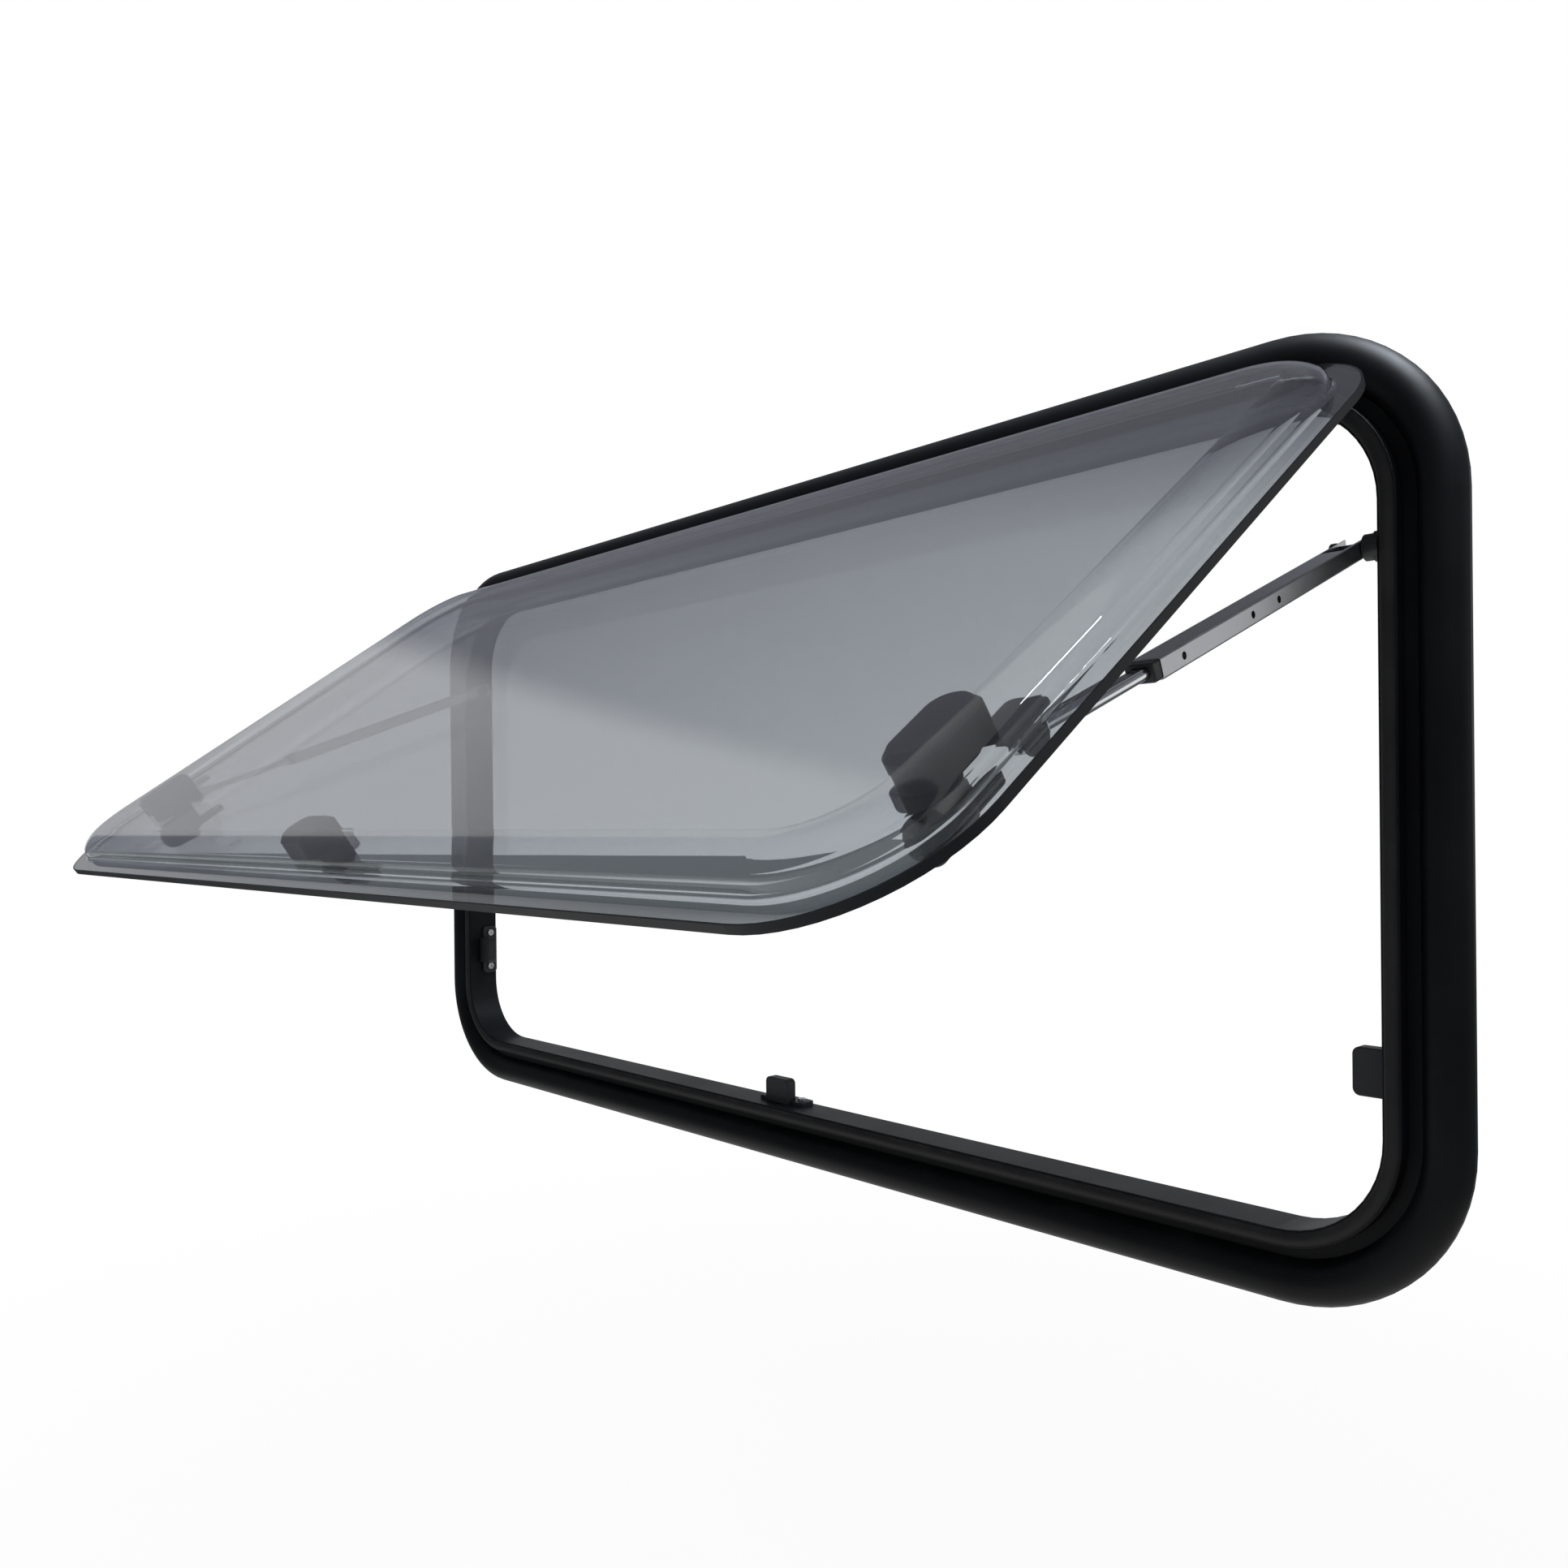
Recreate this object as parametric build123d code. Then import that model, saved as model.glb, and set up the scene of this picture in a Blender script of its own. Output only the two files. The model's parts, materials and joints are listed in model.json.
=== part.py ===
from build123d import *
import os
from math import asin, atan2, cos, degrees, hypot, radians, sin, sqrt

# A caravan window seen from outside: X to the right, Z up, Y into the caravan.
# The origin is the centre of the window on the outer face of the wall.
# Millimetres and degrees.

# Frame: one extrusion bent round the opening. Heights are measured outwards from the wall.
FRAME_WIDTH = 1040.0
FRAME_HEIGHT = 530.0
FRAME_CORNER = 100.0
BULGE_WIDTH = 25.0
BULGE_HEIGHT = 12.5
BULGE_EDGE = 3.0
WEB_THICKNESS = 2.0
GROOVE_WIDTH = 7.0
LIP_WIDTH = 10.0
LIP_HEIGHT = 11.0
LIP_ROUND = 1.0
LEG_THICKNESS = 8.0
LEG_DEPTH = 20.0

# Screw ports in the rear edge of the leg
PORT_DIAMETER = 4.0
PORT_DEPTH = 12.0
PORT_INNER_PITCH = 300.0
PORT_OUTER_PITCH = 800.0
PORT_SIDE_PITCH = 180.0

# Rubber seal on the lip
SEAL_WIDTH = 7.5
SEAL_HEIGHT = 2.3
SEAL_GAP = 0.5

# Hinge: a bead in the top groove and a hook on the sash
OPEN_ANGLE = 54.6
HINGE_LENGTH = 820.0
HINGE_OFFSET = 2.0
BEAD_RADIUS = 3.2
HINGE_CLEARANCE = 0.3
HOOK_WALL = 2.1
NECK_THICKNESS = 2.6
NECK_MARGIN = 4.0
FOOT_WIDTH = 6.0
FOOT_THICKNESS = 1.2
LEAF_THICKNESS = 1.8
HINGE_NOTCH_GAP = 0.6

# Sash: two acrylic sheets bonded at a flange, with a slim black strip round the edge
SASH_INSET = 26.0
SASH_BOTTOM_INSET = 30.0
SASH_TOP_OVER = 3.0
SASH_CORNER = 72.0
OUTER_SHEET = 2.2
INNER_SHEET = 2.0
TRIM_WALL = 1.0
FLANGE_WIDTH = 14.0
DOME_RUN = 20.0
DOME_RISE = 15.6
DOME_LEAN = 1.0
DOME_WALL = 7.2

# Latches: a pad between the sheets, a base behind them and a turning handle
LATCH_SIDE_RISE = 102.0
LATCH_SETBACK = 37.0
PAD_LENGTH = 48.0
PAD_WIDTH = 26.0
PAD_SHIFT = 8.0
PAD_ROUND = 12.5
PAD_GAP = 1.0
PAD_BEVEL = 3.0
BASE_HEIGHT = 8.6
BASE_LENGTH = 44.0
BASE_WIDTH = 20.0
BASE_ROUND = 9.0
BASE_EDGE = 1.5
HANDLE_CLEARANCE = 0.3
HUB_RADIUS = 9.0
TONGUE_LENGTH = 30.0
TONGUE_WIDTH = 14.0
TONGUE_THICKNESS = 4.5
GRIP_LENGTH = 27.0
GRIP_THICKNESS = 10.0
GRIP_LIFT = 2.5
GRIP_OVER = 3.5
GRIP_ROUND = 9.0

# Keepers on the jambs and the sill
KEEPER_LENGTH = 50.0
KEEPER_PLATE = 3.0
KEEPER_DEPTH = 16.0
KEEPER_PLATE_Y = 3.5
KEEPER_BLOCK_LENGTH = 26.0
KEEPER_BLOCK_DEPTH = 9.0
KEEPER_BLOCK_Y = 0.5
KEEPER_REACH = 20.0
KEEPER_ROUND = 4.0
KEEPER_EDGE = 0.8
KEEPER_PLATE_ROUND = 4.0
TONGUE_GAP = 1.0
KEEPER_SCREW_PITCH = 36.0

# Screws with round heads, for the keepers and the stay brackets
SCREW_HEAD_RADIUS = 3.2
SCREW_HEAD_HEIGHT = 2.0
SCREW_RADIUS = 1.9
SCREW_LENGTH = 9.0
SCREW_CLEARANCE = 0.1

# Stays: a channel that turns on the jamb and a bar that slides out of it
STAY_PIVOT_DROP = 96.0
STAY_PIVOT_DEPTH = 4.0
STAY_SASH_DROP = 345.0
STAY_SASH_DEPTH = 9.8
STAY_WIDTH = 14.5
STAY_HEIGHT = 9.5
STAY_WALL = 1.5
STAY_EDGE = 1.0
STAY_TAIL = 8.0
STAY_CUT = 24.0
STAY_REACH = 214.0
STAY_HOLE_RADIUS = 1.8
STAY_HOLES = (103.0, 130.0, 195.0)
COLLAR_LENGTH = 6.0
COLLAR_STEP = 0.4
COLLAR_EDGE = 0.8
SPIGOT_LENGTH = 9.0
SPIGOT_CLEARANCE = 0.1
ROD_WIDTH = 9.5
ROD_HEIGHT = 5.0
ROD_ROUND = 2.2
ROD_CLEARANCE = 0.2
ROD_ENGAGED = 62.0
EYE_RADIUS = 6.5
EYE_THICKNESS = 4.0
FERRULE_WIDTH = 11.5
FERRULE_HEIGHT = 7.0
FERRULE_END = 12.0
PIVOT_RADIUS = 3.0
PIVOT_CLEARANCE = 0.1
PIVOT_HEAD_RADIUS = 5.0
PIVOT_HEAD_HEIGHT = 2.5
BRACKET_PLATE = 3.0
BRACKET_FRONT = 9.0
BRACKET_WIDTH = 16.0
BRACKET_LENGTH = 28.0
BRACKET_ROUND = 5.0
BRACKET_BOSS = 8.0
BOSS_RADIUS = 7.0
STAY_GAP = 0.4
BRACKET_SCREW_START = 7.0
BRACKET_SCREW_PITCH = 8.0
FOOT_PLATE = 2.5
FOOT_PLATE_LENGTH = 30.0
FOOT_PLATE_WIDTH = 20.0
FOOT_PLATE_ROUND = 4.0
CHEEK_THICKNESS = 2.5
CHEEK_RADIUS = 7.5
CHEEK_GAP = 0.5
RIVET_GAP = 0.3

# Places that follow from the sizes
GROOVE_END = BULGE_WIDTH + GROOVE_WIDTH
MEMBER = GROOVE_END + LIP_WIDTH
JAMB_X = FRAME_WIDTH / 2 - MEMBER
SILL_Z = FRAME_HEIGHT / 2 - MEMBER
HOOK_RADIUS = BEAD_RADIUS + HINGE_CLEARANCE + HOOK_WALL
LEAF_REACH = FLANGE_WIDTH - SASH_TOP_OVER

# Levels across the closed sash, outwards from the hinge axis
FLANGE_FRONT = HOOK_RADIUS - LEAF_THICKNESS
BOND_LEVEL = FLANGE_FRONT - OUTER_SHEET
SHEET_REAR = BOND_LEVEL - INNER_SHEET
DOME_TOP = FLANGE_FRONT + DOME_RISE
SHOULDER_RUN = DOME_RUN - DOME_LEAN
SHOULDER_RISE = DOME_RISE - DOME_WALL
SHOULDER_RADIUS = (SHOULDER_RUN ** 2 + SHOULDER_RISE ** 2) / (2 * SHOULDER_RISE)

AXIS_Y = -(LIP_HEIGHT + SEAL_HEIGHT + SEAL_GAP - SHEET_REAR)
AXIS_Z = FRAME_HEIGHT / 2 - BULGE_WIDTH - HINGE_OFFSET
SASH_WIDTH = FRAME_WIDTH - 2 * SASH_INSET
SASH_TOP_Z = AXIS_Z + SASH_TOP_OVER
SASH_BOTTOM_Z = SASH_BOTTOM_INSET - FRAME_HEIGHT / 2
SASH_HEIGHT = SASH_TOP_Z - SASH_BOTTOM_Z
SASH_CENTRE_Z = (SASH_TOP_Z + SASH_BOTTOM_Z) / 2
HINGE_AXIS = Axis((0, AXIS_Y, AXIS_Z), (-1, 0, 0))

# Levels of a latch, inwards from the inner sheet
HANDLE_LEVEL = SHEET_REAR - BASE_HEIGHT - HANDLE_CLEARANCE
KEEPER_REAR_Y = KEEPER_BLOCK_Y + KEEPER_BLOCK_DEPTH
TONGUE_LEVEL = AXIS_Y - KEEPER_REAR_Y - TONGUE_GAP
HUB_END = TONGUE_LEVEL - TONGUE_THICKNESS
LATCH_SIDE_X = JAMB_X - LATCH_SETBACK
LATCH_SIDE_Z = SASH_BOTTOM_Z + LATCH_SIDE_RISE
LATCH_BOTTOM_Z = LATCH_SETBACK - SILL_Z

STAY_X = JAMB_X - BRACKET_BOSS - STAY_GAP - STAY_WIDTH / 2
STAY_PIVOT_Y = -STAY_PIVOT_DEPTH
STAY_PIVOT_Z = AXIS_Z - STAY_PIVOT_DROP


def level_y(level):
    """Y of a level across the closed sash."""
    return AXIS_Y - level


def swung(shape):
    """Turn a piece of the closed sash about the hinge to where it stands open."""
    return shape.rotate(HINGE_AXIS, OPEN_ANGLE)


def plate(width, height, corner, centre_z, low, high):
    """A flat rounded sheet, parallel to the wall, between two heights out from the wall."""
    outline = Pos(0, centre_z) * RectangleRounded(width, height, corner)
    return extrude(Plane.XZ.offset(low) * outline, high - low)


def swept_ring(width, height, corner, centre_z, section):
    """Sweep a section, drawn as inset and height, round a rounded rectangle."""
    path = (Plane.XZ * Pos(0, centre_z) * RectangleRounded(width, height, corner)).wire()
    start = path @ 0
    inward = (path % 0).cross(Vector(0, 1, 0))
    if inward.dot(Vector(0, 0, centre_z) - start) < 0:
        inward = -inward
    outward = Vector(0, -1, 0)
    edges = []
    for points in section:
        spots = [start + inward * inset + outward * height_out for inset, height_out in points]
        edges += [Line(*spots) if len(spots) == 2 else ThreePointArc(*spots)]
    return sweep(make_face(edges), path=path)


def outline(*points):
    """Straight edges through the points and back to the first."""
    return list(zip(points, points[1:] + points[:1]))


def make_outer_frame(screw_holes):
    """The bent extrusion, with screw ports at the rear and holes for the screws."""
    bulge_end = (BULGE_WIDTH, WEB_THICKNESS)
    groove_end = (GROOVE_END, WEB_THICKNESS)
    lip_outer = (GROOVE_END, LIP_HEIGHT - LIP_ROUND)
    lip_flat = (GROOVE_END + LIP_ROUND, LIP_HEIGHT)
    lip_edge = (MEMBER - LIP_ROUND, LIP_HEIGHT)
    lip_inner = (MEMBER, LIP_HEIGHT - LIP_ROUND)
    rounding = LIP_ROUND * (1 - sqrt(0.5))
    leg_outer = MEMBER - LEG_THICKNESS
    section = [
        ((0, 0), (0, BULGE_EDGE)),
        ((0, BULGE_EDGE), (BULGE_WIDTH / 2, BULGE_HEIGHT), bulge_end),
        (bulge_end, groove_end),
        (groove_end, lip_outer),
        (lip_outer, (GROOVE_END + rounding, LIP_HEIGHT - rounding), lip_flat),
        (lip_flat, lip_edge),
        (lip_edge, (MEMBER - rounding, LIP_HEIGHT - rounding), lip_inner),
        (lip_inner, (MEMBER, -LEG_DEPTH)),
        ((MEMBER, -LEG_DEPTH), (leg_outer, -LEG_DEPTH)),
        ((leg_outer, -LEG_DEPTH), (leg_outer, 0)),
        ((leg_outer, 0), (0, 0)),
    ]
    frame = swept_ring(FRAME_WIDTH, FRAME_HEIGHT, FRAME_CORNER, 0, section)
    port_x = JAMB_X + LEG_THICKNESS / 2
    port_z = SILL_Z + LEG_THICKNESS / 2
    places = [(PORT_INNER_PITCH / 2, port_z), (PORT_OUTER_PITCH / 2, port_z), (port_x, PORT_SIDE_PITCH / 2)]
    ports = [Pos(sx * x, sz * z) * Circle(PORT_DIAMETER / 2)
             for x, z in places for sx in (-1, 1) for sz in (-1, 1)]
    frame -= extrude(Plane.XZ.offset(-LEG_DEPTH) * Sketch(children=ports), PORT_DEPTH)
    for hole in screw_holes:
        frame -= hole
    return frame


def make_frame_seal():
    """A rubber bulb along the middle of the lip."""
    near = MEMBER - (LIP_WIDTH + SEAL_WIDTH) / 2
    far = near + SEAL_WIDTH
    crest = LIP_HEIGHT + SEAL_HEIGHT
    section = [
        ((near, LIP_HEIGHT), ((near + far) / 2, crest), (far, LIP_HEIGHT)),
        ((far, LIP_HEIGHT), (near, LIP_HEIGHT)),
    ]
    return swept_ring(FRAME_WIDTH, FRAME_HEIGHT, FRAME_CORNER, 0, section)


def block(x_range, y_range, z_range):
    """A box between pairs of X, Y and Z values, in either order."""
    spans = [sorted(r) for r in (x_range, y_range, z_range)]
    return Pos(*[(a + b) / 2 for a, b in spans]) * Box(*[b - a for a, b in spans])


def rod(radius, start, end):
    """A round bar between two points."""
    line = Vector(*end) - Vector(*start)
    return extrude(Plane(start, z_dir=line) * Circle(radius), line.length)


def screw(seat):
    """A round headed screw along Z with the underside of its head at a height."""
    head = rod(SCREW_HEAD_RADIUS, (0, 0, seat), (0, 0, seat + SCREW_HEAD_HEIGHT))
    head = fillet(head.edges().filter_by(GeomType.CIRCLE).group_by(Axis.Z)[-1], SCREW_HEAD_HEIGHT / 2)
    return head + rod(SCREW_RADIUS, (0, 0, seat - SCREW_LENGTH), (0, 0, seat))


def screw_hole(seat):
    """The hole that a screw goes into."""
    return rod(SCREW_RADIUS + SCREW_CLEARANCE, (0, 0, seat - SCREW_LENGTH - SCREW_CLEARANCE), (0, 0, seat))


def make_hinge_rail():
    """The bead, its neck and the foot on the floor of the groove, along the top."""
    floor = -WEB_THICKNESS
    ends = (-HINGE_LENGTH / 2, HINGE_LENGTH / 2)
    neck = (AXIS_Z - NECK_THICKNESS / 2, AXIS_Z + NECK_THICKNESS / 2)
    foot_z = FRAME_HEIGHT / 2 - BULGE_WIDTH - GROOVE_WIDTH / 2
    rail = rod(BEAD_RADIUS, (ends[0], AXIS_Y, AXIS_Z), (ends[1], AXIS_Y, AXIS_Z))
    rail += block(ends, (AXIS_Y, floor), neck)
    rail += block(ends, (floor - FOOT_THICKNESS, floor), (foot_z - FOOT_WIDTH / 2, foot_z + FOOT_WIDTH / 2))
    return rail


def make_hinge_leaf():
    """A hook round the bead and a leaf down the front of the flange, drawn closed."""
    neck_half = degrees(asin(NECK_THICKNESS / 2 / (HOOK_RADIUS - HOOK_WALL))) + NECK_MARGIN
    far = 3 * HOOK_RADIUS
    mouth = [(0, 0)]
    for turn in (-neck_half, OPEN_ANGLE / 2, OPEN_ANGLE + neck_half):
        mouth += [(-far * cos(radians(turn)), far * sin(radians(turn)))]
    hook = Circle(HOOK_RADIUS) - Circle(HOOK_RADIUS - HOOK_WALL) - make_face(Polyline(*mouth, close=True))
    leaf = Pos((FLANGE_FRONT + HOOK_RADIUS) / 2, -LEAF_REACH / 2) * Rectangle(LEAF_THICKNESS, LEAF_REACH)
    leaf -= Circle(HOOK_RADIUS - HOOK_WALL)
    across = Plane((HINGE_LENGTH / 2, AXIS_Y, AXIS_Z), x_dir=(0, -1, 0), z_dir=(-1, 0, 0))
    return extrude(across * (hook + leaf), HINGE_LENGTH)


def hinge_notch():
    """Room for the hinge along the top of the closed sash."""
    half = HINGE_LENGTH / 2 + HINGE_NOTCH_GAP
    levels = (level_y(SHEET_REAR), level_y(DOME_TOP))
    return block((-half, half), levels, (AXIS_Z - HOOK_RADIUS - HINGE_NOTCH_GAP, SASH_TOP_Z + HOOK_RADIUS))


def make_edge_trim():
    """A slim black strip round the edge of both sheets."""
    rear = SHEET_REAR - AXIS_Y
    front = FLANGE_FRONT - AXIS_Y
    section = outline((0, rear), (0, front), (TRIM_WALL, front), (TRIM_WALL, rear))
    trim = swept_ring(SASH_WIDTH, SASH_HEIGHT, SASH_CORNER, SASH_CENTRE_Z, section)
    return trim - hinge_notch()


def dome_face(depth, level):
    """One face of the dome: its foot at a level, the top of the steep wall, the shoulder and its end."""
    crown = FLANGE_WIDTH + DOME_RUN
    centre = DOME_TOP - SHOULDER_RADIUS
    radius = SHOULDER_RADIUS - depth
    bend = asin(SHOULDER_RUN / SHOULDER_RADIUS)
    arc = [(crown - radius * sin(turn), centre + radius * cos(turn)) for turn in (bend, bend / 2, 0)]
    knee, knee_level = arc[0]
    foot = (knee - DOME_LEAN * (knee_level - level) / DOME_WALL, level)
    return [(inset, height - AXIS_Y) for inset, height in [foot] + arc]


def make_outer_pane():
    """The domed sheet: a flange, a steep wall, a round shoulder and a flat top."""
    base = -AXIS_Y
    crown = FLANGE_WIDTH + DOME_RUN
    outer = dome_face(0, FLANGE_FRONT)
    inner = dome_face(OUTER_SHEET, BOND_LEVEL)
    edge = [(TRIM_WALL, base + BOND_LEVEL), (TRIM_WALL, base + FLANGE_FRONT)]
    section = [
        (edge[1], outer[0]),
        (outer[0], outer[1]),
        tuple(outer[1:]),
        (outer[-1], inner[-1]),
        tuple(inner[:0:-1]),
        (inner[1], inner[0]),
        (inner[0], edge[0]),
        tuple(edge),
    ]
    pane = swept_ring(SASH_WIDTH, SASH_HEIGHT, SASH_CORNER, SASH_CENTRE_Z, section)
    size = (SASH_WIDTH - 2 * crown, SASH_HEIGHT - 2 * crown, SASH_CORNER - crown)
    pane += plate(*size, SASH_CENTRE_Z, base + DOME_TOP - OUTER_SHEET, base + DOME_TOP)
    return pane - hinge_notch()


def make_inner_pane():
    """The flat sheet behind the dome."""
    size = (SASH_WIDTH - 2 * TRIM_WALL, SASH_HEIGHT - 2 * TRIM_WALL, SASH_CORNER - TRIM_WALL)
    pane = plate(*size, SASH_CENTRE_Z, -AXIS_Y + SHEET_REAR, -AXIS_Y + BOND_LEVEL)
    return pane - hinge_notch()


def make_latch_pad():
    """The block between the two sheets, its length along X, set towards the edge from the pivot."""
    shape = Pos(0, -PAD_SHIFT) * RectangleRounded(PAD_LENGTH, PAD_WIDTH, PAD_ROUND)
    top = DOME_TOP - OUTER_SHEET - PAD_GAP
    pad = extrude(Plane.XZ.offset(-AXIS_Y + BOND_LEVEL) * shape, top - BOND_LEVEL)
    return chamfer(pad.edges().group_by(Axis.Y)[0], PAD_BEVEL)


def make_latch_base():
    """The base behind the inner sheet."""
    shape = RectangleRounded(BASE_LENGTH, BASE_WIDTH, BASE_ROUND)
    base = extrude(Plane.XZ.offset(-AXIS_Y + SHEET_REAR - BASE_HEIGHT) * shape, BASE_HEIGHT)
    return fillet(base.edges().group_by(Axis.Y)[-1], BASE_EDGE)


def make_latch_handle():
    """Hub, tongue along +X and grip along -X, unlocked, about the pivot."""
    handle = rod(HUB_RADIUS, (0, level_y(HUB_END), 0), (0, level_y(HANDLE_LEVEL), 0))
    tongue = Pos(TONGUE_LENGTH / 2, 0) * SlotCenterToCenter(TONGUE_LENGTH - TONGUE_WIDTH, TONGUE_WIDTH)
    tongue += Pos(TONGUE_LENGTH / 4, 0) * Rectangle(TONGUE_LENGTH / 2, TONGUE_WIDTH)
    handle += extrude(Plane.XZ.offset(-level_y(HUB_END)) * tongue, TONGUE_THICKNESS)
    grip = block((-GRIP_LENGTH, HUB_RADIUS - GRIP_LIFT),
                 (level_y(HANDLE_LEVEL - GRIP_LIFT), level_y(HUB_END - GRIP_OVER)),
                 (-GRIP_THICKNESS / 2, GRIP_THICKNESS / 2))
    grip = fillet(grip.edges().filter_by(Axis.Z), GRIP_ROUND)
    return handle + fillet(grip.edges().group_by(Axis.Z)[-1] + grip.edges().group_by(Axis.Z)[0], GRIP_LIFT)


def make_keeper():
    """A keeper on the plane Z = 0, along X, with its block up +Z."""
    plate_y = (KEEPER_PLATE_Y, KEEPER_PLATE_Y + KEEPER_DEPTH)
    half = KEEPER_BLOCK_LENGTH / 2
    stop = block((-half, half), (KEEPER_BLOCK_Y, KEEPER_REAR_Y), (0, KEEPER_REACH))
    stop = fillet(stop.edges().filter_by(Axis.Y).group_by(Axis.Z)[-1], KEEPER_ROUND)
    stop = fillet(stop.edges().group_by(Axis.Y)[0] + stop.edges().group_by(Axis.Y)[-1], KEEPER_EDGE)
    strip = block((-KEEPER_LENGTH / 2, KEEPER_LENGTH / 2), plate_y, (0, KEEPER_PLATE))
    strip = fillet(strip.edges().filter_by(Axis.Z), KEEPER_PLATE_ROUND)
    keeper = stop + fillet(strip.edges().group_by(Axis.Z)[-1], KEEPER_EDGE)
    for spot in keeper_screw_spots():
        keeper -= spot * screw_hole(KEEPER_PLATE)
    return keeper


def keeper_screw_spots():
    """Where the screws of a keeper go."""
    middle = KEEPER_PLATE_Y + KEEPER_DEPTH / 2
    return [Pos(side * KEEPER_SCREW_PITCH / 2, middle) for side in (-1, 1)]


def make_stay_bracket():
    """A bracket on the plane Z = 0, along Y, with the pivot pin of the stay up +Z."""
    plate_y = (-BRACKET_FRONT, BRACKET_LENGTH - BRACKET_FRONT)
    bracket = block((-BRACKET_WIDTH / 2, BRACKET_WIDTH / 2), plate_y, (0, BRACKET_PLATE))
    bracket = fillet(bracket.edges().filter_by(Axis.Z), BRACKET_ROUND)
    pin_end = BRACKET_BOSS + STAY_WIDTH + 2 * STAY_GAP
    bracket += rod(BOSS_RADIUS, (0, STAY_PIVOT_Y, 0), (0, STAY_PIVOT_Y, BRACKET_BOSS))
    bracket += rod(PIVOT_RADIUS, (0, STAY_PIVOT_Y, 0), (0, STAY_PIVOT_Y, pin_end))
    head_end = pin_end + PIVOT_HEAD_HEIGHT
    bracket += rod(PIVOT_HEAD_RADIUS, (0, STAY_PIVOT_Y, pin_end), (0, STAY_PIVOT_Y, head_end))
    for spot in bracket_screw_spots():
        bracket -= spot * screw_hole(BRACKET_PLATE)
    return bracket


def bracket_screw_spots():
    """Where the screws of a stay bracket go."""
    return [Pos(0, BRACKET_SCREW_START + place * BRACKET_SCREW_PITCH) for place in (0, 1)]


def make_sash_bracket():
    """The foot and cheek that hold the end of the right stay, drawn closed."""
    cheek_x = STAY_X + FERRULE_WIDTH / 2 + CHEEK_GAP
    outer_x = cheek_x + CHEEK_THICKNESS
    eye_y = level_y(-STAY_SASH_DEPTH)
    eye_z = AXIS_Z - STAY_SASH_DROP
    foot_y = (level_y(SHEET_REAR), level_y(SHEET_REAR - FOOT_PLATE))
    bracket = block((outer_x - FOOT_PLATE_WIDTH, outer_x), foot_y,
                    (eye_z - FOOT_PLATE_LENGTH / 2, eye_z + FOOT_PLATE_LENGTH / 2))
    bracket = fillet(bracket.edges().filter_by(Axis.Y), FOOT_PLATE_ROUND)
    bracket += block((cheek_x, outer_x), (foot_y[0], eye_y), (eye_z - CHEEK_RADIUS, eye_z + CHEEK_RADIUS))
    return bracket + rod(CHEEK_RADIUS, (cheek_x, eye_y, eye_z), (outer_x, eye_y, eye_z))


def sash_eye():
    """Where the right stay meets the open sash, as Y and Z from the stay's pivot."""
    drop = radians(OPEN_ANGLE)
    eye_y = AXIS_Y - STAY_SASH_DROP * sin(drop) + STAY_SASH_DEPTH * cos(drop)
    eye_z = AXIS_Z - STAY_SASH_DROP * cos(drop) - STAY_SASH_DEPTH * sin(drop)
    return eye_y - STAY_PIVOT_Y, eye_z - STAY_PIVOT_Z


def stay_placed(piece):
    """Turn a piece of the right stay, drawn hanging from its pivot, towards the open sash."""
    along_y, along_z = sash_eye()
    return Pos(STAY_X, STAY_PIVOT_Y, STAY_PIVOT_Z) * Rot(degrees(atan2(along_y, -along_z)), 0, 0) * piece


def bar(width, height, corner, low_z, high_z):
    """A rounded bar along Z."""
    return extrude(Plane.XY.offset(low_z) * RectangleRounded(width, height, corner), high_z - low_z)


def make_stay_channel():
    """A flat aluminium tube hanging from the pivot, cut away at the top, with small holes outside."""
    half_x = STAY_WIDTH / 2
    room_x = half_x - STAY_WALL
    room_y = STAY_HEIGHT / 2 - STAY_WALL
    tube = bar(STAY_WIDTH, STAY_HEIGHT, STAY_EDGE, -STAY_REACH, STAY_TAIL)
    tube -= block((-room_x, room_x), (-room_y, room_y), (-STAY_REACH, STAY_TAIL))
    tube -= block((-room_x, room_x), (-STAY_HEIGHT / 2, -room_y), (-STAY_CUT, STAY_TAIL))
    tube -= rod(PIVOT_RADIUS + PIVOT_CLEARANCE, (-half_x, 0, 0), (half_x, 0, 0))
    for reach in STAY_HOLES:
        tube -= rod(STAY_HOLE_RADIUS, (room_x, 0, -reach), (half_x, 0, -reach))
    return tube


def make_stay_collar():
    """The black end of the channel that guides the bar."""
    end = -STAY_REACH - COLLAR_LENGTH
    top = SPIGOT_LENGTH - STAY_REACH
    room_x = STAY_WIDTH / 2 - STAY_WALL - SPIGOT_CLEARANCE
    room_y = STAY_HEIGHT / 2 - STAY_WALL - SPIGOT_CLEARANCE
    step = 2 * COLLAR_STEP
    collar = bar(STAY_WIDTH - step, STAY_HEIGHT - step, STAY_EDGE, end, -STAY_REACH)
    collar = fillet(collar.edges().group_by(Axis.Z)[0], COLLAR_EDGE)
    collar += block((-room_x, room_x), (-room_y, room_y), (-STAY_REACH, top))
    spare = 2 * ROD_CLEARANCE
    return collar - bar(ROD_WIDTH + spare, ROD_HEIGHT + spare, ROD_ROUND + ROD_CLEARANCE, end, top)


def make_stay_rod():
    """The bright rounded bar, from inside the channel to its eye."""
    tail = ROD_ENGAGED - STAY_REACH - COLLAR_LENGTH
    return bar(ROD_WIDTH, ROD_HEIGHT, ROD_ROUND, FERRULE_END - hypot(*sash_eye()), tail)


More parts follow.
